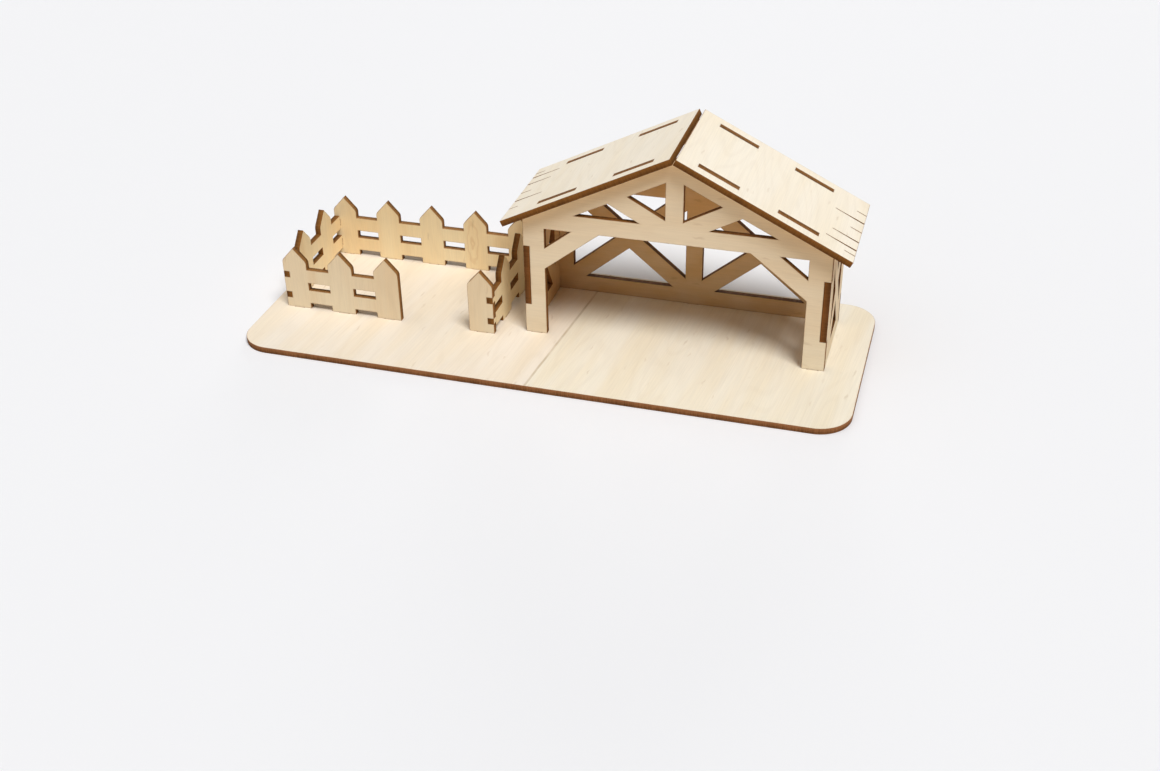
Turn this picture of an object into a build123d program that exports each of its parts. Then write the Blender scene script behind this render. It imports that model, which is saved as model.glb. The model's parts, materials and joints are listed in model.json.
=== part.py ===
from build123d import *
import math
import os

# A small wooden nativity stable with a picket pen, cut from thin plywood and slotted together.
# Frame: origin under the middle of the base plate, +X right, +Y back, +Z up, millimetres.

# Driving sizes

# The plywood that every piece is cut from, and the slack round each tab in its slot
sheet = 3.0
fit_gap = 0.1
# How far a cut runs out past the edge that it opens
cut_overrun = 1.0

# Base plate, and what it leaves free round the stable and the pen
base_corner_radius = 16.0
stable_right_margin = 17.9
stable_front_setback = 48.7
stable_back_margin = 16.6
pen_left_margin = 8.5
pen_front_setback = 41.7
pen_back_margin = 9.5
pen_to_stable_gap = 14.4

# Tabs under the posts and pickets, which stop just short of the plate's underside
foot_tab_width = 5.0
foot_tab_recess = 0.2

# Stable over the outer faces of its frames and walls; heights are above the plate
stable_width = 147.2
stable_depth = 50.4
eave_height = 62.7
gable_rise = 36.4
post_width = 10.7
# Width of the tie beam, rafters, king post, struts, rails and crossed braces
member_width = 8.6
# Underside of the tie beam below the eaves
tie_drop = 5.5
# The small triangle between each post, its knee brace and the tie beam
knee_hole_width = 13.0
knee_hole_height = 10.2
# Tabs of the side walls in the notches of the posts
wall_tab_height = 31.3
# Room between the side walls' top edge and the roof
wall_roof_gap = 0.3

# Roof panels
roof_tab_length = 20.6
roof_tab_place_shares = (0.25, 0.75)
ridge_gap = 0.1
eave_overhang = 8.9
gable_overhang = 5.6
# Slits that split each eave into planks, open at the eave and narrowing up the panel; each has a place
# along half the panel and a share of the longest slit's length and mouth
slit_mouth = 0.95
slit_tip = 0.2
slit_length = 15.9
roof_slit_shares = ((-0.79, 0.34), (-0.62, 1.0), (-0.35, 0.86), (-0.02, 0.37), (0.29, 0.97), (0.57, 0.32))

# Pen fences
picket_width = 13.0
picket_gap = 11.75
picket_tip_height = 33.4
picket_shoulder_height = 26.2
picket_shoulder_radius = 3.2
back_picket_count = 5
front_picket_count = 3
side_picket_count = 2
fence_ground_gap = 3.0
rail_height = 7.5
rail_gap = 4.1
rail_tab_height = 3.0

# Worked-out sizes and places

picket_pitch = picket_width + picket_gap
pen_length = back_picket_count * picket_pitch - picket_gap
base_length = pen_left_margin + pen_length + pen_to_stable_gap + stable_width + stable_right_margin
base_depth = stable_front_setback + stable_depth + stable_back_margin
base_right = base_length / 2
base_front = -base_depth / 2
floor = sheet
foot_tab_depth = sheet - foot_tab_recess

half_width = stable_width / 2
half_depth = stable_depth / 2
clear_half_width = half_width - post_width
stable_x = base_right - stable_right_margin - half_width
stable_y = base_front + stable_front_setback + half_depth

apex_height = eave_height + gable_rise
roof_pitch = math.atan2(gable_rise, half_width)
rafter_length = math.hypot(gable_rise, half_width)
tie_height = eave_height - tie_drop
wall_height = eave_height - wall_roof_gap
wall_tab_low = (eave_height - wall_tab_height) / 2
wall_tab_high = (eave_height + wall_tab_height) / 2
notch_depth = sheet + fit_gap

roof_length = stable_depth + 2 * gable_overhang
roof_reach = rafter_length + eave_overhang
roof_tab_places = [share * rafter_length for share in roof_tab_place_shares]

pen_left = -base_right + pen_left_margin
pen_right = pen_left + pen_length
pen_depth = base_depth - pen_front_setback - pen_back_margin
pen_front = base_front + pen_front_setback
pen_y = pen_front + pen_depth / 2
first_back_picket = pen_left + picket_width / 2
back_picket_places = [first_back_picket + count * picket_pitch for count in range(back_picket_count)]
front_picket_places = back_picket_places[:front_picket_count]
gate_picket_place = back_picket_places[-1]
first_side_picket = -picket_pitch * (side_picket_count - 1) / 2
side_picket_places = [first_side_picket + count * picket_pitch for count in range(side_picket_count)]
lower_rail_place = fence_ground_gap + rail_height / 2
rail_places = [lower_rail_place, lower_rail_place + rail_height + rail_gap]


# Flat pieces

def flat(points):
    """A flat face inside a closed run of straight edges."""
    return make_face(Polyline(*points, close=True))


def flip(points):
    """The same points on the other side of the middle line."""
    return [(-x, z) for x, z in points]


def both_sides(holes):
    """Each hole and its mirror image."""
    return holes + [flip(hole) for hole in holes]


def cut_sheet(plane, face):
    """One piece of plywood, standing out of the plane by its thickness."""
    return extrude(plane * face, amount=sheet)


def facing_front(x, back_y):
    """Plane of a piece that faces the front, on its back face, with its local Y up."""
    return Plane(origin=(x, back_y, floor), x_dir=(1, 0, 0), z_dir=(0, -1, 0))


def facing_right(left_x, y):
    """Plane of a piece that faces the right, on its left face, with its local X backwards."""
    return Plane(origin=(left_x, y, floor), x_dir=(0, 1, 0), z_dir=(1, 0, 0))


# Stable frames

def down_rafter(distance, lift=0):
    """Point on the right-hand slope, a distance down from the apex and lifted square to the slope."""
    x = distance * math.cos(roof_pitch) + lift * math.sin(roof_pitch)
    z = apex_height - distance * math.sin(roof_pitch) + lift * math.cos(roof_pitch)
    return (x, z)


def roof_tab_points():
    """The tabs that stand out of the right-hand slope, from the apex down."""
    points = []
    for place in roof_tab_places:
        upper = place - roof_tab_length / 2
        lower = place + roof_tab_length / 2
        points += [down_rafter(upper), down_rafter(upper, sheet)]
        points += [down_rafter(lower, sheet), down_rafter(lower)]
    return points


def wall_notch_points():
    """The notch for a side wall in the right-hand post's outer edge, from the top down."""
    high = wall_tab_high + fit_gap
    low = wall_tab_low - fit_gap
    inner = half_width - notch_depth
    return [(half_width, high), (inner, high), (inner, low), (half_width, low)]


def foot_tab_points(place):
    """A foot tab below the floor line, from its right side to its left."""
    right = place + foot_tab_width / 2
    left = place - foot_tab_width / 2
    return [(right, 0), (right, -foot_tab_depth), (left, -foot_tab_depth), (left, 0)]


def gable_right():
    """The right-hand half of a frame's outer edge, from below the apex to the post's foot tab."""
    eave = [(half_width, eave_height)]
    foot = [(half_width, 0)] + foot_tab_points(half_width - post_width / 2)
    return roof_tab_points() + eave + wall_notch_points() + foot


def frame_outline(right):
    """A frame's whole edge from its right-hand half and the apex."""
    return [(0, apex_height)] + right + flip(reversed(right))


def height_on(line, x):
    """Height of a sloping line, given as its slope and its height at the middle."""
    slope, middle_height = line
    return slope * x + middle_height


def crossing(first, second):
    """Where two sloping lines meet."""
    x = (second[1] - first[1]) / (first[0] - second[0])
    return (x, height_on(first, x))


def truss_holes():
    """The triangles between tie beam, struts, king post and rafters on the right-hand side."""
    rafter_drop = member_width / math.cos(roof_pitch)
    rafter_slope = -math.tan(roof_pitch)
    rafter_under = (rafter_slope, apex_height - rafter_drop)
    rafter_middle = (rafter_slope, apex_height - rafter_drop / 2)
    tie_top = (0, tie_height + member_width)
    tie_middle_height = tie_height + member_width / 2
    strut_top_x = clear_half_width / 2
    strut_slope = (height_on(rafter_middle, strut_top_x) - tie_middle_height) / strut_top_x
    half_strut = member_width / 2 / math.cos(math.atan(strut_slope))
    strut_under = (strut_slope, tie_middle_height - half_strut)
    strut_over = (strut_slope, tie_middle_height + half_strut)
    king_x = member_width / 2
    outer = [
        crossing(strut_under, tie_top),
        crossing(rafter_under, tie_top),
        crossing(strut_under, rafter_under),
    ]
    inner = [
        (king_x, height_on(strut_over, king_x)),
        crossing(strut_over, rafter_under),
        (king_x, height_on(rafter_under, king_x)),
    ]
    return both_sides([outer, inner])


def cross_brace_holes(left, right, low, high):
    """The four triangles that two crossed braces leave in a bay."""
    middle_x = (left + right) / 2
    middle_z = (low + high) / 2
    slope = (high - low) / (right - left)
    rise = member_width / 2 / math.cos(math.atan(slope))
    run = rise / slope
    return [
        [(left + run, high), (right - run, high), (middle_x, middle_z + rise)],
        [(left + run, low), (right - run, low), (middle_x, middle_z - rise)],
        [(left, low + rise), (left, high - rise), (middle_x - run, middle_z)],
        [(right, low + rise), (right, high - rise), (middle_x + run, middle_z)],
    ]


def front_frame():
    """The open front: posts, knee braces, tie beam and truss in one piece."""
    knee_angle = math.atan2(knee_hole_height, knee_hole_width)
    knee_low = tie_height - knee_hole_height - member_width / math.cos(knee_angle)
    knee_inner = clear_half_width - knee_hole_width - member_width / math.sin(knee_angle)
    doorway = [(clear_half_width, 0), (clear_half_width, knee_low), (knee_inner, tie_height)]
    knee_hole = [
        (clear_half_width, tie_height),
        (clear_half_width - knee_hole_width, tie_height),
        (clear_half_width, tie_height - knee_hole_height),
    ]
    face = flat(frame_outline(gable_right() + doorway))
    for hole in truss_holes() + both_sides([knee_hole]):
        face -= flat(hole)
    return cut_sheet(facing_front(stable_x, stable_y - half_depth + sheet), face)


def back_frame():
    """The back: the same gable over a bottom rail, a middle post and two cross-braced bays."""
    middle_tab = foot_tab_points(0)[:2]
    face = flat(frame_outline(gable_right() + middle_tab))
    bay = cross_brace_holes(member_width / 2, clear_half_width, member_width, tie_height)
    for hole in truss_holes() + both_sides(bay):
        face -= flat(hole)
    return cut_sheet(facing_front(stable_x, stable_y + half_depth), face)


# Side walls and roof

def side_wall(left_x):
    """A cross-braced side between the two frames, with a tab at each end for their notches."""
    body = half_depth - sheet
    back_half = [
        (body, 0),
        (body, wall_tab_low),
        (half_depth, wall_tab_low),
        (half_depth, wall_tab_high),
        (body, wall_tab_high),
        (body, wall_height),
    ]
    face = flat(back_half + flip(reversed(back_half)))
    bay = half_depth - post_width
    for hole in cross_brace_holes(-bay, bay, member_width, tie_height):
        face -= flat(hole)
    return cut_sheet(facing_right(left_x, stable_y), face)


def plank_slit(share):
    """A slit that runs up the panel from the eave, where its origin lies, as a share of the longest."""
    half_mouth = share * slit_mouth / 2
    upper_edge = [(-share * slit_length, slit_tip / 2), (0, half_mouth), (cut_overrun, half_mouth)]
    lower_edge = [(x, -y) for x, y in reversed(upper_edge)]
    return flat(upper_edge + lower_edge)


def roof_panel(side):
    """One roof panel; both are the same piece, turned half round for the other side."""
    slope_down = (side * math.cos(roof_pitch), 0, -math.sin(roof_pitch))
    outward = (side * math.sin(roof_pitch), 0, math.cos(roof_pitch))
    plane = Plane(origin=(stable_x, stable_y, floor + apex_height), x_dir=slope_down, z_dir=outward)
    face = Pos((ridge_gap + roof_reach) / 2, 0) * Rectangle(roof_reach - ridge_gap, roof_length)
    slot = Rectangle(roof_tab_length + 2 * fit_gap, sheet + 2 * fit_gap)
    frame_line = half_depth - sheet / 2
    for place in roof_tab_places:
        face -= Pos(place, frame_line) * slot
        face -= Pos(place, -frame_line) * slot
    for place_share, slit_share in roof_slit_shares:
        face -= Pos(roof_reach, place_share * roof_length / 2) * plank_slit(slit_share)
    return cut_sheet(plane, face)


# Pen fences

def picket():
    """One picket standing on the floor line, with rounded shoulders and its foot tab."""
    half = picket_width / 2
    edge = [
        (-half, 0),
        (half, 0),
        (half, picket_shoulder_height),
        (0, picket_tip_height),
        (-half, picket_shoulder_height),
    ]
    blade = flat(edge)
    feet_and_shoulders = blade.vertices().sort_by(Axis.Y)[:-1]
    blade = fillet(feet_and_shoulders[-2:], picket_shoulder_radius)
    return blade + Pos(0, -foot_tab_depth / 2) * Rectangle(foot_tab_width, foot_tab_depth)


def fence(places, rail_start, rail_end):
    """A row of pickets on two rails."""
    panel = Sketch()
    for height in rail_places:
        panel += Pos((rail_start + rail_end) / 2, height) * Rectangle(rail_end - rail_start, rail_height)
    for place in places:
        panel += Pos(place, 0) * picket()
    return panel


def notched(panel, edge_x, inward):
    """The panel with notches for a side fence's rail tabs in the picket edge at edge_x."""
    notch = Rectangle(notch_depth + cut_overrun, rail_tab_height + 2 * fit_gap)
    for height in rail_places:
        panel -= Pos(edge_x + inward * (notch_depth - cut_overrun) / 2, height) * notch
    return panel


def pen_back_fence():
    """The full-length fence at the back, notched at both ends."""
    panel = fence(back_picket_places, pen_left, pen_right)
    panel = notched(notched(panel, pen_left, 1), pen_right, -1)
    return cut_sheet(facing_front(0, pen_front + pen_depth), panel)


def pen_front_fence():
    """The short fence left of the gate gap, notched at its outer end."""
    panel = fence(front_picket_places, pen_left, front_picket_places[-1])
    return cut_sheet(facing_front(0, pen_front + sheet), notched(panel, pen_left, 1))


def pen_gate_picket():
    """The single picket on the far side of the gap that serves as the pen's gate."""
    panel = Pos(gate_picket_place, 0) * picket()
    return cut_sheet(facing_front(0, pen_front + sheet), notched(panel, pen_right, -1))


def pen_side_fence(left_x):
    """A fence between the front and back ones, whose rails end in tabs for their notches."""
    inside = pen_depth / 2 - sheet
    panel = fence(side_picket_places, -inside, inside)
    for height in rail_places:
        panel += Pos(0, height) * Rectangle(pen_depth, rail_tab_height)
    return cut_sheet(facing_right(left_x, pen_y), panel)


# Base plate

def foot_slot_places():
    """Where the feet stand: the centre of each slot, and its turn in degrees about the vertical."""
    front_row = stable_y - half_depth + sheet / 2
    back_row = stable_y + half_depth - sheet / 2
    post = half_width - post_width / 2
    along, across = 0, 90
    places = [(stable_x + x, front_row, along) for x in (-post, post)]
    places += [(stable_x + x, back_row, along) for x in (-post, 0, post)]
    places += [(x, pen_front + pen_depth - sheet / 2, along) for x in back_picket_places]
    places += [(x, pen_front + sheet / 2, along) for x in front_picket_places + [gate_picket_place]]
    places += [(pen_left + sheet / 2, pen_y + y, across) for y in side_picket_places]
    places += [(pen_right - sheet / 2, pen_y + y, across) for y in side_picket_places]
    return places


def base_plate():
    """The rounded plate that everything stands on, with a slot for each foot."""
    plate = RectangleRounded(base_length, base_depth, base_corner_radius)
    slot = Rectangle(foot_tab_width + 2 * fit_gap, sheet + 2 * fit_gap)
    for x, y, turn in foot_slot_places():
        plate -= Pos(x, y) * Rot(0, 0, turn) * slot
    return extrude(plate, amount=sheet)


pieces = {
    "base_plate": base_plate(),
    "front_frame": front_frame(),
    "back_frame": back_frame(),
    "left_wall": side_wall(stable_x - half_width),
    "right_wall": side_wall(stable_x + half_width - sheet),
    "left_roof_panel": roof_panel(-1),
    "right_roof_panel": roof_panel(1),
    "pen_back_fence": pen_back_fence(),
    "pen_front_fence": pen_front_fence(),
    "pen_gate_picket": pen_gate_picket(),
    "pen_left_fence": pen_side_fence(pen_left),
    "pen_right_fence": pen_side_fence(pen_right - sheet),
}

os.makedirs("parts", exist_ok=True)
for name, piece in pieces.items():
    export_step(piece, f"parts/{name}.step")
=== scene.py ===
import json
import math
from collections import namedtuple

import bpy
from bpy.props import FloatProperty, FloatVectorProperty, PointerProperty
from mathutils import Matrix, Vector

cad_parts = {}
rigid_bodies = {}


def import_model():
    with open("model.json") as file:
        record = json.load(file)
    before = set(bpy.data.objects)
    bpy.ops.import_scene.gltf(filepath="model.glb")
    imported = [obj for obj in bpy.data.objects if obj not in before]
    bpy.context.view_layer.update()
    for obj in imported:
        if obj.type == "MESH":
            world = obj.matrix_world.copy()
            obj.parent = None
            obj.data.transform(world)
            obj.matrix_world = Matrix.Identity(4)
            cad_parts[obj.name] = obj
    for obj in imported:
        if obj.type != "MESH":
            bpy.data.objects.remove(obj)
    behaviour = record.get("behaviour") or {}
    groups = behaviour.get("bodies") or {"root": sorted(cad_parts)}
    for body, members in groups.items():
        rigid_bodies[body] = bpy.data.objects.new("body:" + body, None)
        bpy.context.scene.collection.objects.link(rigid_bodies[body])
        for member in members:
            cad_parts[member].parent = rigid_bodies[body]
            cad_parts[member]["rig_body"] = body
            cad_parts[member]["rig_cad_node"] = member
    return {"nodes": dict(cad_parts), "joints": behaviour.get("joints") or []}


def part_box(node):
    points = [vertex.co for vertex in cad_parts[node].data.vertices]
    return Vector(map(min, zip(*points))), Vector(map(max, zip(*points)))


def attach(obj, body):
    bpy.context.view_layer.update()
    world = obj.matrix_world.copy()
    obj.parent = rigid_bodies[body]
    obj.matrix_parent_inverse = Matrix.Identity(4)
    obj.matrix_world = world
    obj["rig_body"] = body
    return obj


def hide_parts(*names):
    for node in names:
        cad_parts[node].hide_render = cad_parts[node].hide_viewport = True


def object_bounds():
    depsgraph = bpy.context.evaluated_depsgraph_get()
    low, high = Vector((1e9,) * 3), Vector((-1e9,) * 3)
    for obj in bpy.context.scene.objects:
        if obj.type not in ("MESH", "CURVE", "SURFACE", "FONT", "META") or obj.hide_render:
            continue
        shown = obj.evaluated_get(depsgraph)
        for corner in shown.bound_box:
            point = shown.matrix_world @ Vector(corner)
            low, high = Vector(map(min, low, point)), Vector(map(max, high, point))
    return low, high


bl_info = {
    "name": "Plywood Stable",
    "version": (1, 0, 0),
    "blender": (4, 5, 0),
    "location": "View3D > Sidebar > Stable",
    "description": "Dresses a slot-together plywood stable with veneer faces and scorched cut edges",
    "category": "Object",
}

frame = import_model()
cad_low, cad_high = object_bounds()

plate_low, plate_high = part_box("base_plate")
sheet = plate_high.z - plate_low.z

right, back, up = Vector((1, 0, 0)), Vector((0, 1, 0)), Vector((0, 0, 1))
roof_lift = {joint["child"]: Vector(joint["axis"]).normalized() for joint in frame["joints"]}

# One plywood piece: its node, body and finish slot, the way its better face looks and the way its grain runs
Board = namedtuple("Board", "node body slot facing grain")
# The look of a piece: light and darker bands of its veneer, its cut edge, the face towards which that edge
# is lightest, and the smoke stain with painted shade on its worse face, with its share
Look = namedtuple("Look", "pale warm edge edge_side smoke smoke_share")

# The face towards which a cut edge is lightest, as a sign along the way that the better face looks
better_face = 1
worse_face = -1
# How much of the smoke stain and painted shade the worse face of a piece has
full_smoke_and_shade_share = 1.0
light_smoke_and_shade_share = 0.3

frame_boards = [
    Board("front_frame", "stable", "frame_plywood", -back, right),
    Board("back_frame", "stable", "frame_plywood", back, right),
]
wall_boards = [
    Board("left_wall", "stable", "frame_plywood", -right, up),
    Board("right_wall", "stable", "frame_plywood", right, up),
]
roof_boards = [
    Board("left_roof_panel", "left_roof", "roof_plywood", roof_lift["left_roof"], back),
    Board("right_roof_panel", "right_roof", "roof_plywood", roof_lift["right_roof"], back),
]
front_fence_boards = [
    Board("pen_front_fence", "stable", "fence_plywood", -back, up),
    Board("pen_gate_picket", "stable", "fence_plywood", -back, up),
]
back_fence = Board("pen_back_fence", "stable", "fence_plywood", -back, up)
side_fence_boards = [
    Board("pen_left_fence", "stable", "fence_plywood", right, up),
    Board("pen_right_fence", "stable", "fence_plywood", right, up),
]


# Settings

def number(name, description, default):
    """A plain number, zero or more."""
    return FloatProperty(name=name, description=description, default=default, min=0.0)


def length(name, description, default):
    """A size in metres."""
    return FloatProperty(name=name, description=description, default=default, unit="LENGTH", precision=5)


def focal_length(name, description, default):
    """A focal length in millimetres."""
    return FloatProperty(name=name, description=description, default=default, min=1.0, unit="CAMERA")


def angle(name, description, default):
    """An angle, given in degrees."""
    return FloatProperty(name=name, description=description, default=math.radians(default), subtype="ANGLE")


def place(name, description, default):
    """A place in metres."""
    return FloatVectorProperty(
        name=name, description=description, default=default, subtype="XYZ", precision=5
    )


def colour(name, description, default):
    """A linear colour."""
    return FloatVectorProperty(
        name=name, description=description, default=default, subtype="COLOR", min=0.0, max=1.0
    )


class BoardSettings(bpy.types.PropertyGroup):
    """Sizes of the cut edges and of the marks in the veneer."""

    edge_ease: length("Edge ease", "Width of the softened rim along every cut", 0.00012)
    toast_reach: length("Toast reach", "How far the laser's heat browns the face beside a cut", 0.0007)
    fibre_depth: length("Fibre depth", "Depth of the fibres and flecks in the veneer", 0.00004)
    striation_depth: length("Striation depth", "Depth of the fine lines in a cut edge", 0.00006)
    seam_start: length("Seam start", "Where the seam in the plate's veneer meets the front edge", -0.0004)
    seam_turn: angle("Seam turn", "Turn of the seam and the plate's grain away from straight back", 5.0)
    flame_from_right: length("Flame place", "Flame's distance from the back fence's right end", 0.03125)
    flame_height: length("Flame height", "Flame's height above the plate", 0.0127)


class ColourSettings(bpy.types.PropertyGroup):
    """Colours of the veneer on each group of pieces, and of the burnt edges."""

    plate_pale: colour("Plate, pale", "Light bands of the base plate's veneer", (0.89, 0.82, 0.705))
    plate_warm: colour("Plate, warm", "Darker bands of the base plate's veneer", (0.87, 0.775, 0.62))
    frame_pale: colour("Frames, pale", "Light bands of the frames' and walls' veneer", (0.89, 0.775, 0.59))
    frame_warm: colour("Frames, warm", "Darker bands of the frames' and walls' veneer", (0.86, 0.72, 0.52))
    roof_pale: colour("Roof, pale", "Light bands of the roof's veneer", (0.955, 0.875, 0.735))
    roof_warm: colour("Roof, warm", "Darker bands of the roof's veneer", (0.935, 0.835, 0.665))
    fence_pale: colour("Front fence, pale", "Light bands of the front fence's veneer", (0.865, 0.745, 0.545))
    fence_warm: colour("Front fence, warm", "Darker bands of the front fence's veneer", (0.84, 0.68, 0.465))
    golden_pale: colour("Other fences, pale", "Light bands of the other fences' veneer", (0.93, 0.775, 0.5))
    golden_warm: colour("Other fences, warm", "Darker bands of their veneer", (0.91, 0.705, 0.415))
    # Smoke: the laser's smoke stain on a worse face, deepened with painted shade
    smoke: colour("Smoke", "Tint of a worse face, browned by the laser's smoke", (0.84, 0.67, 0.48))
    # Frame smoke: the smoke stain deepened further as painted shade on the inner faces of the frames and
    # walls
    frame_smoke_and_shade: colour("Frame smoke", "Tint of the frames' and walls' worse faces", (0.79, 0.58, 0.35))
    fleck: colour("Flecks", "Short dark marks in the veneer", (0.52, 0.38, 0.23))
    seam: colour("Seam", "Line where two sheets of veneer meet", (0.45, 0.33, 0.18))
    seam_left: colour("Left of the seam", "Tint of the veneer left of the seam", (1.0, 0.975, 0.955))
    seam_right: colour("Right of the seam", "Tint of the veneer right of the seam", (0.99, 0.99, 0.95))
    flame: colour("Flame", "Contours of the flame on the back fence", (0.62, 0.36, 0.14))
    toast: colour("Toast", "Face browned beside a cut", (0.42, 0.23, 0.09))
    plate_edge: colour("Plate edge", "Lighter parts of the plate's cut edge", (0.34, 0.15, 0.06))
    wall_edge: colour("Wall edge", "Lighter parts of the side walls' cut edges", (0.21, 0.075, 0.016))
    fence_edge: colour("Fence edge", "Lighter parts of the long fences' cut edges", (0.33, 0.15, 0.04))
    edge: colour("Cut edge", "Lighter parts of all other cut edges", (0.25, 0.1, 0.018))
    char: colour("Char", "Darkest parts of a cut edge", (0.085, 0.033, 0.0065))


class StageSettings(bpy.types.PropertyGroup):
    """The floor, the light and the camera."""

    floor: colour("Floor", "Colour of the pale floor", (0.895, 0.895, 0.91))
    floor_bounce: colour("Floor bounce", "Colour of the light that the floor throws back", (0.8, 0.62, 0.45))
    floor_reach: length("Floor reach", "Radius of the floor", 6.0)
    floor_drop: length("Floor drop", "Gap between the plate and the floor", 0.0001)
    backdrop: colour("Backdrop", "Colour of the pale backdrop", (0.92, 0.92, 0.935))
    sky_top: number("Sky", "Strength of the light from overhead", 0.84)
    sky_focus: number("Sky focus", "How closely the light gathers overhead", 3.0)
    sky_lean: angle("Sky lean", "How far the light overhead leans over", 26.0)
    sky_turn: angle("Sky turn", "Turn of that lean from the left to the front", 35.0)
    key_strength: number("Key", "Strength of the soft lamp", 2.42)
    key_spread: angle("Key spread", "Width of the soft lamp, as the object sees it", 24.5)
    key_rise: angle("Key rise", "Height of the soft lamp above the horizon", 60.2)
    key_turn: angle("Key turn", "Soft lamp's turn from the front to the right", 47.2)
    fill_strength: number("Fill", "Strength of the weak lamp behind", 0.6)
    fill_spread: angle("Fill spread", "Width of the weak lamp, as the object sees it", 24.0)
    fill_rise: angle("Fill rise", "Height of the weak lamp above the horizon", 12.0)
    fill_turn: angle("Fill turn", "Weak lamp's turn from the front, by way of the right", 186.0)
    camera_place: place("Camera place", "Where the camera stands", (0.19007, -0.58966, 0.36321))
    camera_lens: focal_length("Lens", "Camera's focal length", 44.59)
    camera_turn: angle("Turn", "Camera's turn to the left", 17.05)
    camera_tilt: angle("Tilt", "Camera's tilt below the horizon", 32.58)
    camera_roll: angle("Roll", "Camera's roll about its view", -1.08)


# Node trees

vector_kind = "NodeSocketVector"
colour_kind = "NodeSocketColor"
value_kind = "NodeSocketFloat"
# What a group that changes a colour gives, and what a group that makes a whole surface gives
tint_outputs = {"Color": colour_kind}
surface_outputs = {"Color": colour_kind, "Roughness": value_kind, "Height": value_kind}


class Graph:
    """Short hand for filling a node tree."""

    def __init__(self, tree):
        self.tree = tree

    def node(self, kind, inputs=None, **settings):
        """Adds a node; an input is either a value or the output that feeds it."""
        node = self.tree.nodes.new(kind)
        for name, value in settings.items():
            setattr(node, name, value)
        for name, value in (inputs or {}).items():
            self.feed(node.inputs[name], value)
        return node

    def feed(self, socket, value):
        """Sets an input, or links the output that feeds it; a colour may leave out its alpha."""
        if isinstance(value, bpy.types.NodeSocket):
            self.tree.links.new(value, socket)
        elif socket.type == "RGBA":
            socket.default_value = (*value[:3], 1.0)
        else:
            socket.default_value = value

    def group(self, build, inputs):
        """Adds the shared group that a function makes on its first use, and that has the function's name."""
        tree = bpy.data.node_groups.get(build.__name__) or build()
        return self.node("ShaderNodeGroup", inputs, node_tree=tree).outputs

    def math(self, operation, first, second=0.0, third=0.0):
        """A sum on single values."""
        inputs = {0: first, 1: second, 2: third}
        return self.node("ShaderNodeMath", inputs, operation=operation).outputs["Value"]

    def vector_math(self, operation, inputs, output="Vector"):
        """A sum on vectors."""
        return self.node("ShaderNodeVectorMath", inputs, operation=operation).outputs[output]

    def stretch(self, vector, scale):
        """A vector scaled along each axis."""
        return self.vector_math("MULTIPLY", {0: vector, 1: scale})

    def part(self, vector, axis):
        """The part of a vector along one axis."""
        return self.node("ShaderNodeSeparateXYZ", {"Vector": vector}).outputs[axis]

    def noise(self, vector, scale, detail=2.0):
        """Cloudy values from 0 to 1, with so many features to the metre along each axis."""
        inputs = {"Vector": self.stretch(vector, scale), "Scale": 1.0, "Detail": detail}
        return self.node("ShaderNodeTexNoise", inputs).outputs["Fac"]

    def wander(self, vector, scale, reach, detail=2.0):
        """A cloudy shift, as far as its reach along each axis, with so many features to the metre."""
        inputs = {"Vector": vector, "Scale": scale, "Detail": detail}
        return self.stretch(self.node("ShaderNodeTexNoise", inputs).outputs["Color"], reach)

    def span(self, value, given, wanted=(0.0, 1.0)):
        """A value carried smoothly from one range to another."""
        inputs = {"Value": value}
        inputs["From Min"], inputs["From Max"] = given
        inputs["To Min"], inputs["To Max"] = wanted
        return self.node("ShaderNodeMapRange", inputs, interpolation_type="SMOOTHSTEP").outputs["Result"]

    def mix(self, share, first, second, blend="MIX"):
        """Two colours blended by a share."""
        node = self.node("ShaderNodeMix", {"Factor": share}, data_type="RGBA", blend_type=blend)
        colours = [socket for socket in node.inputs if socket.type == "RGBA"]
        for socket, value in zip(colours, (first, second)):
            self.feed(socket, value)
        return [socket for socket in node.outputs if socket.type == "RGBA"][0]


def new_group(build, inputs, outputs):
    """An empty shader group with named sockets and its function's name: its Graph and what it is given."""
    tree = bpy.data.node_groups.new(build.__name__, "ShaderNodeTree")
    for label, kind in inputs.items():
        tree.interface.new_socket(label, in_out="INPUT", socket_type=kind)
    for label, kind in outputs.items():
        tree.interface.new_socket(label, in_out="OUTPUT", socket_type=kind)
    graph = Graph(tree)
    return graph, graph.node("NodeGroupInput").outputs


# Veneer

# Features to the metre along the grain, across it and through the sheet
band_scale = (8, 75, 75)
figure_scale = (8, 42, 42)
fibre_scale = (50, 1900, 1900)
# Finer layers of noise in a pattern
figure_detail = 1.0
fibre_detail = 3.0
# Values between which a pattern goes from nothing to full
band_range = (0.34, 0.68)
figure_range = (0.2, 1.0)
fibre_range = (0.3, 0.7)
veneer_gloss_range = (0.25, 0.75)
# How closely the figure's contours follow each other
figure_rings = 75.0
# What the patterns do to the colour, the roughness and the relief
figure_share = 0.05
fleck_share = 0.3
fibre_shade_shares = (0.965, 1.02)
veneer_roughness = (0.6, 0.72)
fleck_depth_share = 0.8


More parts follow.
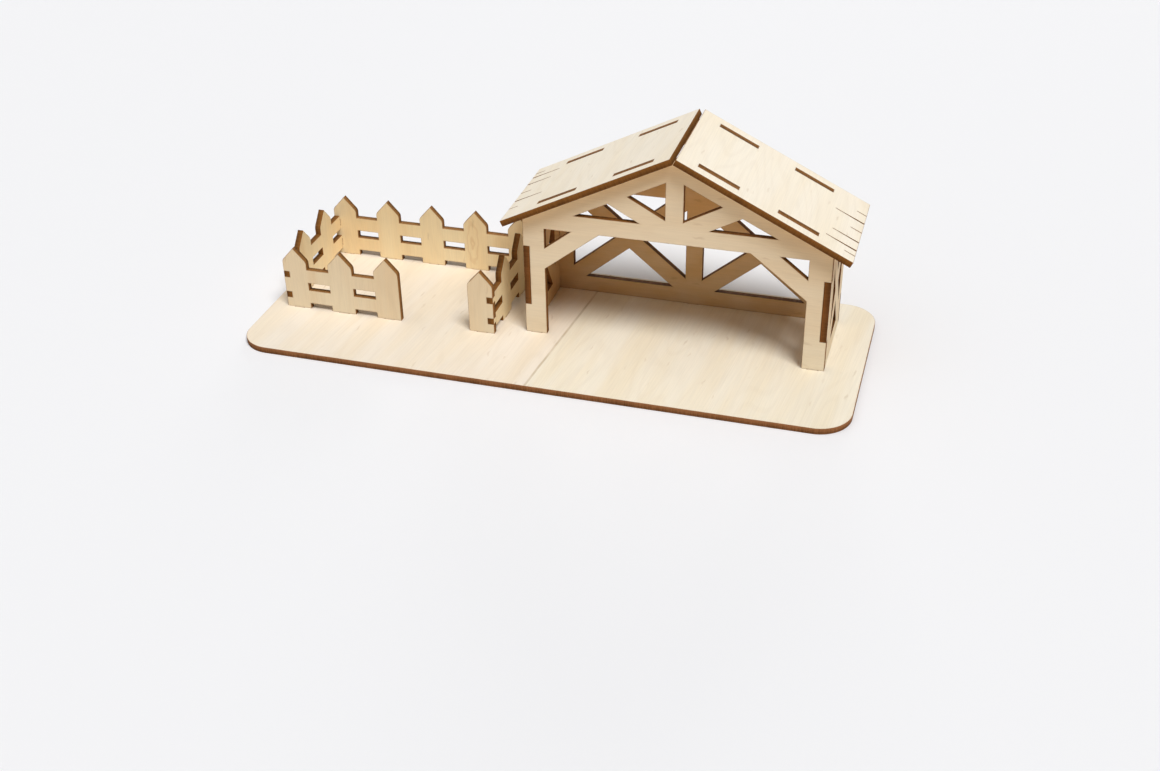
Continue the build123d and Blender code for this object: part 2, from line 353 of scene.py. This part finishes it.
def veneer_group():
    """Rotary-cut veneer: broad tone bands, contour figure, fine fibres and short flecks along X."""
    inputs = {"Vector": vector_kind, "Pale": colour_kind, "Warm": colour_kind, "Fleck": colour_kind}
    graph, given = new_group(veneer_group, inputs, surface_outputs)
    vector = given["Vector"]
    bands = graph.span(graph.noise(vector, band_scale), band_range)
    tone = graph.mix(bands, given["Pale"], given["Warm"])
    lined = graph.mix(veneer_figure(graph, vector), tone, given["Fleck"])
    flecks = veneer_flecks(graph, vector)
    marked = graph.mix(graph.math("MULTIPLY", flecks, fleck_share), lined, given["Fleck"])
    fibres = graph.noise(vector, fibre_scale, fibre_detail)
    shade = graph.span(fibres, fibre_range, fibre_shade_shares)
    surface = {
        "Color": graph.vector_math("SCALE", {0: marked, "Scale": shade}),
        "Roughness": graph.span(fibres, veneer_gloss_range, veneer_roughness),
        "Height": graph.math("SUBTRACT", fibres, graph.math("MULTIPLY", flecks, fleck_depth_share)),
    }
    graph.node("NodeGroupOutput", surface)
    return graph.tree


def veneer_figure(graph, vector):
    """A faint mask of contour lines."""
    field = graph.noise(vector, figure_scale, figure_detail)
    rings = graph.math("SINE", graph.math("MULTIPLY", field, figure_rings))
    return graph.math("MULTIPLY", graph.span(rings, figure_range), figure_share)


# Flecks

# How closely and how far a fleck wanders
fleck_wander_scale = 160.0
fleck_wander_reach = (0.004, 0.004, 0.0)
# Cells to the metre, each with a lot of its own and room for one fleck
fleck_cell_scale = (95, 470, 470)
# Distances from a cell's point at which its fleck ends and is full
fleck_distances = (0.34, 0.1)
# Lots between which a cell goes from empty to full
fleck_lots = (0.84, 0.95)


def veneer_flecks(graph, vector):
    """A mask of sparse, short marks along X, a little bent."""
    bend = graph.wander(vector, fleck_wander_scale, fleck_wander_reach)
    bent = graph.vector_math("ADD", {0: vector, 1: bend})
    inputs = {"Vector": graph.stretch(bent, fleck_cell_scale), "Scale": 1.0}
    cells = graph.node("ShaderNodeTexVoronoi", inputs).outputs
    lot = graph.node("ShaderNodeSeparateColor", {"Color": cells["Color"]}).outputs["Red"]
    marks = graph.span(cells["Distance"], fleck_distances)
    return graph.math("MULTIPLY", marks, graph.span(lot, fleck_lots))


# Cut edges

# Places and widths, in shares of the way from the sheet's middle to its face
glue_place_share = 0.36
glue_width_share = 0.1
rim_shares = (0.8, 1.0)
side_shares = (-0.7, 0.9)
# Patches and striations, as for the veneer
patch_scale = (70, 70, 70)
patch_detail = 3.0
patch_range = (0.3, 0.68)
striation_scale = (1500, 1500, 90)
striation_range = (0.3, 0.7)
# How much each lightens or darkens the edge
striation_light_share = 0.35
patch_light_share = 0.3
side_light_share = 0.7
glue_dark_share = 0.45
rim_dark_share = 0.4
# Roughness from the hollows to the crests of the striations
edge_roughness = (0.85, 0.7)


def scorch_group():
    """Laser-cut ply edge: three plies across Z, fine striations across the cut, lightest to one side."""
    inputs = {"Vector": vector_kind, "Char": colour_kind, "Burnt": colour_kind, "Side": value_kind}
    graph, given = new_group(scorch_group, inputs, surface_outputs)
    through = graph.math("DIVIDE", graph.part(given["Vector"], "Z"), sheet / 2)
    depth = graph.math("ABSOLUTE", through)
    from_glue = graph.math("ABSOLUTE", graph.math("SUBTRACT", depth, glue_place_share))
    glue = graph.span(from_glue, (0.0, glue_width_share), (1.0, 0.0))
    lines = graph.span(graph.noise(given["Vector"], striation_scale), striation_range)
    aside = graph.math("MULTIPLY", through, given["Side"])
    light = scorch_light(graph, given["Vector"], lines, aside)
    glue_dark = graph.math("MULTIPLY", glue, glue_dark_share)
    rim_dark = graph.math("MULTIPLY", graph.span(depth, rim_shares), rim_dark_share)
    spared = graph.math("SUBTRACT", 1.0, graph.math("MAXIMUM", glue_dark, rim_dark))
    surface = {
        "Color": graph.mix(graph.math("MULTIPLY", light, spared), given["Char"], given["Burnt"]),
        "Roughness": graph.span(lines, (0.0, 1.0), edge_roughness),
        "Height": graph.math("SUBTRACT", lines, glue),
    }
    graph.node("NodeGroupOutput", surface)
    return graph.tree


def scorch_light(graph, vector, lines, aside):
    """How light the edge is: by its striations, in patches and towards its lighter side."""
    patches = graph.span(graph.noise(vector, patch_scale, patch_detail), patch_range)
    patched = graph.math("MULTIPLY", patches, patch_light_share)
    lined = graph.math("MULTIPLY_ADD", lines, striation_light_share, patched)
    return graph.math("ADD", lined, graph.span(aside, side_shares, (0.0, side_light_share)))


# Smoke stain and painted shade

# Clouds, as for the veneer
smoke_and_shade_scale = (35, 60, 60)
smoke_and_shade_detail = 3.0
smoke_and_shade_range = (0.25, 0.7)
# Least and most of the stain and painted shade that the clouds leave
smoke_and_shade_cloud_shares = (0.7, 1.0)


def smoke_and_shade_group():
    """Smoke stain and painted shade on the face that Z leaves behind, uneven and warmer than the other face.
    """
    inputs = {"Vector": vector_kind, "Color": colour_kind, "Smoke": colour_kind, "Share": value_kind}
    graph, given = new_group(smoke_and_shade_group, inputs, tint_outputs)
    behind = graph.math("LESS_THAN", graph.part(given["Vector"], "Z"), 0.0)
    field = graph.noise(given["Vector"], smoke_and_shade_scale, smoke_and_shade_detail)
    clouds = graph.span(field, smoke_and_shade_range, smoke_and_shade_cloud_shares)
    stained_and_shaded = graph.mix(1.0, given["Color"], given["Smoke"], "MULTIPLY")
    share = graph.math("MULTIPLY", graph.math("MULTIPLY", behind, clouds), given["Share"])
    graph.node("NodeGroupOutput", {"Color": graph.mix(share, given["Color"], stained_and_shaded)})
    return graph.tree


# Seam

# How closely and how far the seam sways from side to side
seam_sway_scale = (90, 0, 0)
seam_sway = 0.0005
# Half width of the change between the two tones, and half widths between which the dark line fades
seam_blend = 0.0001
seam_half_widths = (0.0002, 0.0009)
# Wear along the line, as for the veneer, with the least and most of the line that it leaves
seam_wear_scale = (70, 0, 0)
seam_wear_range = (0.3, 0.62)
seam_line_shares = (0.25, 0.62)


def seam_group():
    """A thin uneven line along X at Y zero, with the veneer on its two sides a shade apart."""
    inputs = {label: colour_kind for label in ("Color", "Seam", "Left", "Right")}
    graph, given = new_group(seam_group, {"Vector": vector_kind, **inputs}, tint_outputs)
    vector = given["Vector"]
    sway = graph.math("MULTIPLY", graph.noise(vector, seam_sway_scale), seam_sway)
    offset = graph.math("SUBTRACT", graph.math("ADD", graph.part(vector, "Y"), seam_sway / 2), sway)
    left = graph.mix(1.0, given["Color"], given["Left"], "MULTIPLY")
    right_side = graph.mix(1.0, given["Color"], given["Right"], "MULTIPLY")
    sides = graph.mix(graph.span(offset, (-seam_blend, seam_blend)), right_side, left)
    line = graph.span(graph.math("ABSOLUTE", offset), seam_half_widths, (1.0, 0.0))
    worn = graph.span(graph.noise(vector, seam_wear_scale), seam_wear_range, seam_line_shares)
    share = graph.math("MULTIPLY", line, worn)
    graph.node("NodeGroupOutput", {"Color": graph.mix(share, sides, given["Seam"])})
    return graph.tree


# Flame

# How closely and how far the contours wobble
flame_wobble_scale = 170.0
flame_wobble_reach = (0.006, 0.0035, 0.0)
flame_wobble_detail = 1.0
# One over the half length and the half width of the flame's oval, in metres
flame_scale = (75, 300, 0)
# How closely the contours follow each other, and the values between which they show
flame_rings = 9.0
flame_ring_range = (0.1, 1.0)
# Sizes of the oval between which the contours fade, and their shares in the colour at these
flame_fade_range = (0.4, 1.9)
flame_fade_shares = (0.3, 0.0)


def flame_group():
    """A small flame of nested contours about the origin, along X, fading outwards."""
    inputs = {"Vector": vector_kind, "Color": colour_kind, "Line": colour_kind}
    graph, given = new_group(flame_group, inputs, tint_outputs)
    wobble = graph.wander(given["Vector"], flame_wobble_scale, flame_wobble_reach, flame_wobble_detail)
    bent = graph.vector_math("SUBTRACT", {0: given["Vector"], 1: wobble})
    oval = graph.vector_math("LENGTH", {0: graph.stretch(bent, flame_scale)}, "Value")
    waves = graph.math("SINE", graph.math("MULTIPLY", oval, flame_rings))
    fade = graph.span(oval, flame_fade_range, flame_fade_shares)
    share = graph.math("MULTIPLY", graph.span(waves, flame_ring_range), fade)
    graph.node("NodeGroupOutput", {"Color": graph.mix(share, given["Color"], given["Line"])})
    return graph.tree


# Browning beside the cuts

# The mesh attribute that is one on the points along every cut
cut_mark = "near_cut"
# Patches, as for the veneer, with the least and most of the browning that they leave
toast_scale = (260, 260, 260)
toast_range = (0.3, 0.7)
toast_patch_shares = (0.25, 1.0)
# How fast the browning falls off, and its share in the colour at the cut
toast_fall = 2.0
toast_share = 0.45


def toast_group():
    """Browning of the face beside a cut, strongest at the cut and uneven along it."""
    inputs = {"Vector": vector_kind, "Color": colour_kind, "Toast": colour_kind}
    graph, given = new_group(toast_group, inputs, tint_outputs)
    near = graph.node("ShaderNodeAttribute", attribute_name=cut_mark).outputs["Fac"]
    patches = graph.span(graph.noise(given["Vector"], toast_scale), toast_range, toast_patch_shares)
    uneven = graph.math("MULTIPLY", patches, toast_share)
    share = graph.math("MULTIPLY", graph.math("POWER", near, toast_fall), uneven)
    graph.node("NodeGroupOutput", {"Color": graph.mix(share, given["Color"], given["Toast"])})
    return graph.tree


# Materials

# Strength of the sheen on bare wood and the floor
dull_specular = 0.2
# Strength of the fine relief
relief_strength = 0.35
# How many times its own place each piece is moved over the veneer's pattern, so that no two are alike
veneer_shift = 3


def grain_mapping(graph, board, start=None):
    """Object coordinates turned so that X runs along the grain and Z through the sheet, from its middle."""
    low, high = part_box(board.node)
    turn = Matrix((board.grain, board.facing.cross(board.grain), board.facing))
    inputs = {
        "Vector": graph.node("ShaderNodeTexCoord").outputs["Object"],
        "Location": -(turn @ (start or (low + high) / 2)),
        "Rotation": turn.to_euler(),
    }
    return graph.node("ShaderNodeMapping", inputs).outputs["Vector"]


def new_material(name):
    """An empty material with its Graph and Principled shader."""
    material = bpy.data.materials.new(name)
    material.use_nodes = True
    material.node_tree.nodes.clear()
    graph = Graph(material.node_tree)
    shader = graph.node("ShaderNodeBsdfPrincipled", {"Specular IOR Level": dull_specular})
    graph.node("ShaderNodeOutputMaterial", {"Surface": shader.outputs["BSDF"]})
    return material, graph, shader


def join_surface(graph, shader, surface, base, depth):
    """Joins a base colour and a surface group's roughness and height to the shader."""
    inputs = {"Strength": relief_strength, "Distance": depth, "Height": surface["Height"]}
    relief = graph.node("ShaderNodeBump", inputs)
    graph.feed(shader.inputs["Base Color"], base)
    graph.feed(shader.inputs["Roughness"], surface["Roughness"])
    graph.feed(shader.inputs["Normal"], relief.outputs["Normal"])


def veneer_material(board, look, marks):
    """The faces of one piece; marks adds what only this piece has."""
    sizes, colours = bpy.context.scene.stable_boards, bpy.context.scene.stable_colours
    material, graph, shader = new_material(board.node + "_veneer")
    vector = grain_mapping(graph, board)
    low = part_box(board.node)[0]
    moved = graph.vector_math("ADD", {0: vector, 1: low * veneer_shift})
    inputs = {"Vector": moved, "Pale": look.pale, "Warm": look.warm, "Fleck": colours.fleck}
    veneer = graph.group(veneer_group, inputs)
    marked = marks(graph, board, veneer["Color"]) if marks else veneer["Color"]
    # The worse face gets the smoke stain with painted shade
    inputs = {"Vector": vector, "Color": marked, "Smoke": look.smoke, "Share": look.smoke_share}
    stained_and_shaded = graph.group(smoke_and_shade_group, inputs)["Color"]
    inputs = {"Vector": vector, "Color": stained_and_shaded, "Toast": colours.toast}
    toasted = graph.group(toast_group, inputs)["Color"]
    join_surface(graph, shader, veneer, toasted, sizes.fibre_depth)
    return material


def edge_material(board, look):
    """The cut edges of one piece."""
    sizes, colours = bpy.context.scene.stable_boards, bpy.context.scene.stable_colours
    material, graph, shader = new_material(board.node + "_cut_edge")
    vector = grain_mapping(graph, board)
    inputs = {"Vector": vector, "Char": colours.char, "Burnt": look.edge, "Side": look.edge_side}
    scorch = graph.group(scorch_group, inputs)
    join_surface(graph, shader, scorch, scorch["Color"], sizes.striation_depth)
    return material


def seam_marks(graph, board, veneer):
    """The seam in the base plate's veneer."""
    sizes, colours = bpy.context.scene.stable_boards, bpy.context.scene.stable_colours
    start = Vector((sizes.seam_start, plate_low.y, plate_high.z))
    inputs = {
        "Vector": grain_mapping(graph, board, start),
        "Color": veneer,
        "Seam": colours.seam,
        "Left": colours.seam_left,
        "Right": colours.seam_right,
    }
    return graph.group(seam_group, inputs)["Color"]


def flame_marks(graph, board, veneer):
    """The flame in the back fence's veneer, on the fourth picket."""
    sizes, colours = bpy.context.scene.stable_boards, bpy.context.scene.stable_colours
    low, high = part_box(board.node)
    start = Vector((high.x - sizes.flame_from_right, low.y, plate_high.z + sizes.flame_height))
    inputs = {"Vector": grain_mapping(graph, board, start), "Color": veneer, "Line": colours.flame}
    return graph.group(flame_group, inputs)["Color"]


# Boards

# Distance within which two points of a mesh become one
merge_reach = 1e-6
# Angle within which two faces of a mesh become one
join_angle = math.radians(0.1)
# Cosine from which a face counts as looking in a direction
one_way = 0.999
# Angle up to which an edge is shaded smooth
smooth_angle = math.radians(25.0)
# Order of the two materials on a board
veneer_index = 0
edge_index = 1


def deselect_all():
    """Nothing is selected, in object mode."""
    bpy.ops.object.select_all(action="DESELECT")


def copy_board(board):
    """A copy of the piece's node, free of the frame's own marks, with its corners merged."""
    deselect_all()
    node = frame["nodes"][board.node]
    node.select_set(True)
    bpy.context.view_layer.objects.active = node
    bpy.ops.object.duplicate()
    piece = bpy.context.active_object
    bpy.ops.object.parent_clear(type="CLEAR_KEEP_TRANSFORM")
    del piece["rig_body"]
    del piece["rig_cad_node"]
    piece.name = board.node + "_board"
    bpy.ops.mesh.customdata_custom_splitnormals_clear()
    bpy.ops.object.mode_set(mode="EDIT")
    bpy.ops.mesh.select_all(action="SELECT")
    bpy.ops.mesh.remove_doubles(threshold=merge_reach)
    bpy.ops.mesh.dissolve_limited(angle_limit=join_angle)
    bpy.ops.object.mode_set(mode="OBJECT")
    return piece


def select_faces(piece, direction):
    """Goes into edit mode with only the flat faces that look in the direction selected."""
    bpy.ops.object.mode_set(mode="EDIT")
    bpy.ops.mesh.select_mode(type="FACE")
    bpy.ops.mesh.select_all(action="DESELECT")
    bpy.ops.object.mode_set(mode="OBJECT")
    for polygon in piece.data.polygons:
        polygon.select = polygon.normal.dot(direction) > one_way
    bpy.ops.object.mode_set(mode="EDIT")


def ease_edges(piece, board, ease, toast):
    """Softens the rim of both faces and lays a narrow border inside it for the browning."""
    for direction in (board.facing, -board.facing):
        select_faces(piece, direction)
        bpy.ops.transform.translate(value=-direction * ease)
        bpy.ops.mesh.inset(thickness=ease, depth=ease, use_even_offset=True)
        bpy.ops.mesh.inset(thickness=toast, depth=0.0, use_even_offset=True)
        bpy.ops.object.mode_set(mode="OBJECT")


def mark_cuts(piece, board):
    """Gives the cut edges their own material, and marks the points along every cut."""
    near = piece.data.attributes.new(cut_mark, "FLOAT", "POINT")
    for polygon in piece.data.polygons:
        if abs(polygon.normal.dot(board.facing)) < one_way:
            polygon.material_index = edge_index
            for vertex in polygon.vertices:
                near.data[vertex].value = 1.0
        else:
            polygon.material_index = veneer_index


def dress_board(board, look, marks=None):
    """Replaces one node with its eased, veneered and scorched board."""
    sizes = bpy.context.scene.stable_boards
    piece = copy_board(board)
    ease_edges(piece, board, sizes.edge_ease, sizes.toast_reach)
    piece.data.materials.clear()
    piece.data.materials.append(veneer_material(board, look, marks))
    piece.data.materials.append(edge_material(board, look))
    mark_cuts(piece, board)
    bpy.ops.object.shade_smooth_by_angle(angle=smooth_angle)
    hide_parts(board.node)
    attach(piece, board.body)


class STABLE_OT_dress_base(bpy.types.Operator):
    """Makes the base plate with its seamed veneer"""

    bl_idname = "stable.dress_base"
    bl_label = "Base plate"

    def execute(self, context):
        sizes, colours = context.scene.stable_boards, context.scene.stable_colours
        grain = Vector((math.sin(sizes.seam_turn), math.cos(sizes.seam_turn), 0.0))
        board = Board("base_plate", "stable", "base_plywood", up, grain)
        veneer = (colours.plate_pale, colours.plate_warm)
        # The plate's underside gets a light share of the smoke stain and painted shade
        look = Look(*veneer, colours.plate_edge, better_face, colours.smoke, light_smoke_and_shade_share)
        dress_board(board, look, seam_marks)
        return {"FINISHED"}


class STABLE_OT_dress_frames(bpy.types.Operator):
    """Makes the front and back frames"""

    bl_idname = "stable.dress_frames"
    bl_label = "Frames"

    def execute(self, context):
        colours = context.scene.stable_colours
        veneer = (colours.frame_pale, colours.frame_warm)
        # The frames' worse faces look into the stable: a smoke stain deepened as painted shade
        look = Look(*veneer, colours.edge, better_face, colours.frame_smoke_and_shade, full_smoke_and_shade_share)
        for board in frame_boards:
            dress_board(board, look)
        return {"FINISHED"}


class STABLE_OT_dress_walls(bpy.types.Operator):
    """Makes the two side walls"""

    bl_idname = "stable.dress_walls"
    bl_label = "Side walls"

    def execute(self, context):
        colours = context.scene.stable_colours
        veneer = (colours.frame_pale, colours.frame_warm)
        # The walls' worse faces look into the stable: a smoke stain deepened as painted shade
        look = Look(*veneer, colours.wall_edge, worse_face, colours.frame_smoke_and_shade, full_smoke_and_shade_share)
        for board in wall_boards:
            dress_board(board, look)
        return {"FINISHED"}


class STABLE_OT_dress_roof(bpy.types.Operator):
    """Makes the two roof panels"""

    bl_idname = "stable.dress_roof"
    bl_label = "Roof panels"

    def execute(self, context):
        colours = context.scene.stable_colours
        veneer = (colours.roof_pale, colours.roof_warm)
        # The roof's underside gets the smoke stain with painted shade
        look = Look(*veneer, colours.edge, better_face, colours.smoke, full_smoke_and_shade_share)
        for board in roof_boards:
            dress_board(board, look)
        return {"FINISHED"}


class STABLE_OT_dress_pen(bpy.types.Operator):
    """Makes the pen's fences and its gate picket"""

    bl_idname = "stable.dress_pen"
    bl_label = "Pen fences"

    def execute(self, context):
        colours = context.scene.stable_colours
        veneer = (colours.fence_pale, colours.fence_warm)
        # The fences' worse faces get a light share of the smoke stain and painted shade
        look = Look(*veneer, colours.fence_edge, better_face, colours.smoke, light_smoke_and_shade_share)
        for board in front_fence_boards:
            dress_board(board, look)
        golden = look._replace(pale=colours.golden_pale, warm=colours.golden_warm)
        dress_board(back_fence, golden, flame_marks)
        for board in side_fence_boards:
            dress_board(board, golden._replace(edge=colours.edge))
        return {"FINISHED"}


# Stage

floor_corners = 64
floor_roughness = 0.85
white = (1.0, 1.0, 1.0)
right_angle = math.radians(90.0)


def seen_rays(graph):
    """One for rays that are seen, straight or mirrored, and zero for those that only light things."""
    rays = graph.node("ShaderNodeLightPath").outputs
    mirrored = graph.math("MAXIMUM", rays["Is Glossy Ray"], rays["Is Transmission Ray"])
    return graph.math("MAXIMUM", rays["Is Camera Ray"], mirrored)


def lay_floor(stage):
    """A wide pale floor just under the plate."""
    deselect_all()
    bpy.ops.mesh.primitive_circle_add(
        vertices=floor_corners,
        radius=stage.floor_reach,
        fill_type="NGON",
        location=(0.0, 0.0, -stage.floor_drop),
    )
    floor = bpy.context.active_object
    floor.name = "floor"
    material, graph, shader = new_material("pale_floor")
    shown = graph.mix(seen_rays(graph), stage.floor_bounce, stage.floor)
    graph.feed(shader.inputs["Base Color"], shown)
    graph.feed(shader.inputs["Roughness"], floor_roughness)
    floor.data.materials.append(material)


def light_sky(stage):
    """Soft light, strongest from above, and a pale backdrop for the camera."""
    world = bpy.data.worlds.new("soft_sky")
    bpy.context.scene.world = world
    world.use_nodes = True
    world.node_tree.nodes.clear()
    graph = Graph(world.node_tree)
    direction = graph.node("ShaderNodeTexCoord").outputs["Generated"]
    lean = Vector((-math.cos(stage.sky_turn), -math.sin(stage.sky_turn), 0.0))
    middle = lean * math.sin(stage.sky_lean) + up * math.cos(stage.sky_lean)
    rise = graph.vector_math("DOT_PRODUCT", {0: direction, 1: middle}, "Value")
    gathered = graph.math("POWER", graph.math("MAXIMUM", rise, 0.0), stage.sky_focus)
    strength = graph.math("MULTIPLY", gathered, stage.sky_top)
    light = graph.node("ShaderNodeBackground", {"Color": white, "Strength": strength})
    backdrop = graph.node("ShaderNodeBackground", {"Color": stage.backdrop, "Strength": 1.0})
    shaders = {1: light.outputs["Background"], 2: backdrop.outputs["Background"]}
    both = graph.node("ShaderNodeMixShader", {0: seen_rays(graph), **shaders})
    graph.node("ShaderNodeOutputWorld", {"Surface": both.outputs["Shader"]})


def hang_lamp(name, strength, spread, rise, turn):
    """A wide soft lamp, so far away that it lights the whole floor evenly."""
    deselect_all()
    level = Vector((math.sin(turn), -math.cos(turn), 0.0))
    side = level * math.cos(rise) + up * math.sin(rise)
    aim = (-side).to_track_quat("-Z", "Y").to_euler()
    bpy.ops.object.light_add(type="SUN", location=cad_high + side, rotation=aim)
    lamp = bpy.context.active_object
    lamp.name = name
    lamp.data.angle = spread
    lamp.data.energy = strength


def stand_camera(stage):
    """The camera, at the photograph's viewing angle."""
    deselect_all()
    turn = Matrix.Rotation(stage.camera_turn, 3, "Z")
    tilt = Matrix.Rotation(right_angle - stage.camera_tilt, 3, "X")
    roll = Matrix.Rotation(stage.camera_roll, 3, "Z")
    bpy.ops.object.camera_add(location=stage.camera_place, rotation=(turn @ tilt @ roll).to_euler())
    camera = bpy.context.active_object
    camera.name = "camera"
    camera.data.lens = stage.camera_lens
    bpy.context.scene.camera = camera


class STABLE_OT_set_stage(bpy.types.Operator):
    """Lays the floor, hangs the lamps and stands the camera"""

    bl_idname = "stable.set_stage"
    bl_label = "Stage"

    def execute(self, context):
        stage = context.scene.stable_stage
        lay_floor(stage)
        light_sky(stage)
        hang_lamp("soft_key", stage.key_strength, stage.key_spread, stage.key_rise, stage.key_turn)
        hang_lamp("weak_fill", stage.fill_strength, stage.fill_spread, stage.fill_rise, stage.fill_turn)
        stand_camera(stage)
        context.scene.view_settings.view_transform = "Standard"
        return {"FINISHED"}


class STABLE_PT_sidebar(bpy.types.Panel):
    """Lists the pieces and the stage, with their sizes and colours"""

    bl_idname = "STABLE_PT_sidebar"
    bl_label = "Plywood Stable"
    bl_space_type = "VIEW_3D"
    bl_region_type = "UI"
    bl_category = "Stable"

    def draw(self, context):
        scene = context.scene
        for operator in operators:
            self.layout.operator(operator.bl_idname)
        for settings in (scene.stable_boards, scene.stable_colours, scene.stable_stage):
            for name in type(settings).__annotations__:
                self.layout.prop(settings, name)


operators = [
    STABLE_OT_dress_base,
    STABLE_OT_dress_frames,
    STABLE_OT_dress_walls,
    STABLE_OT_dress_roof,
    STABLE_OT_dress_pen,
    STABLE_OT_set_stage,
]
classes = [BoardSettings, ColourSettings, StageSettings, *operators, STABLE_PT_sidebar]


def register():
    for item in classes:
        bpy.utils.register_class(item)
    bpy.types.Scene.stable_boards = PointerProperty(type=BoardSettings)
    bpy.types.Scene.stable_colours = PointerProperty(type=ColourSettings)
    bpy.types.Scene.stable_stage = PointerProperty(type=StageSettings)


def unregister():
    del bpy.types.Scene.stable_stage
    del bpy.types.Scene.stable_colours
    del bpy.types.Scene.stable_boards
    for item in reversed(classes):
        bpy.utils.unregister_class(item)


def main():
    register()
    bpy.ops.stable.dress_base()
    bpy.ops.stable.dress_frames()
    bpy.ops.stable.dress_walls()
    bpy.ops.stable.dress_roof()
    bpy.ops.stable.dress_pen()
    bpy.ops.stable.set_stage()


if __name__ == "__main__":
    main()
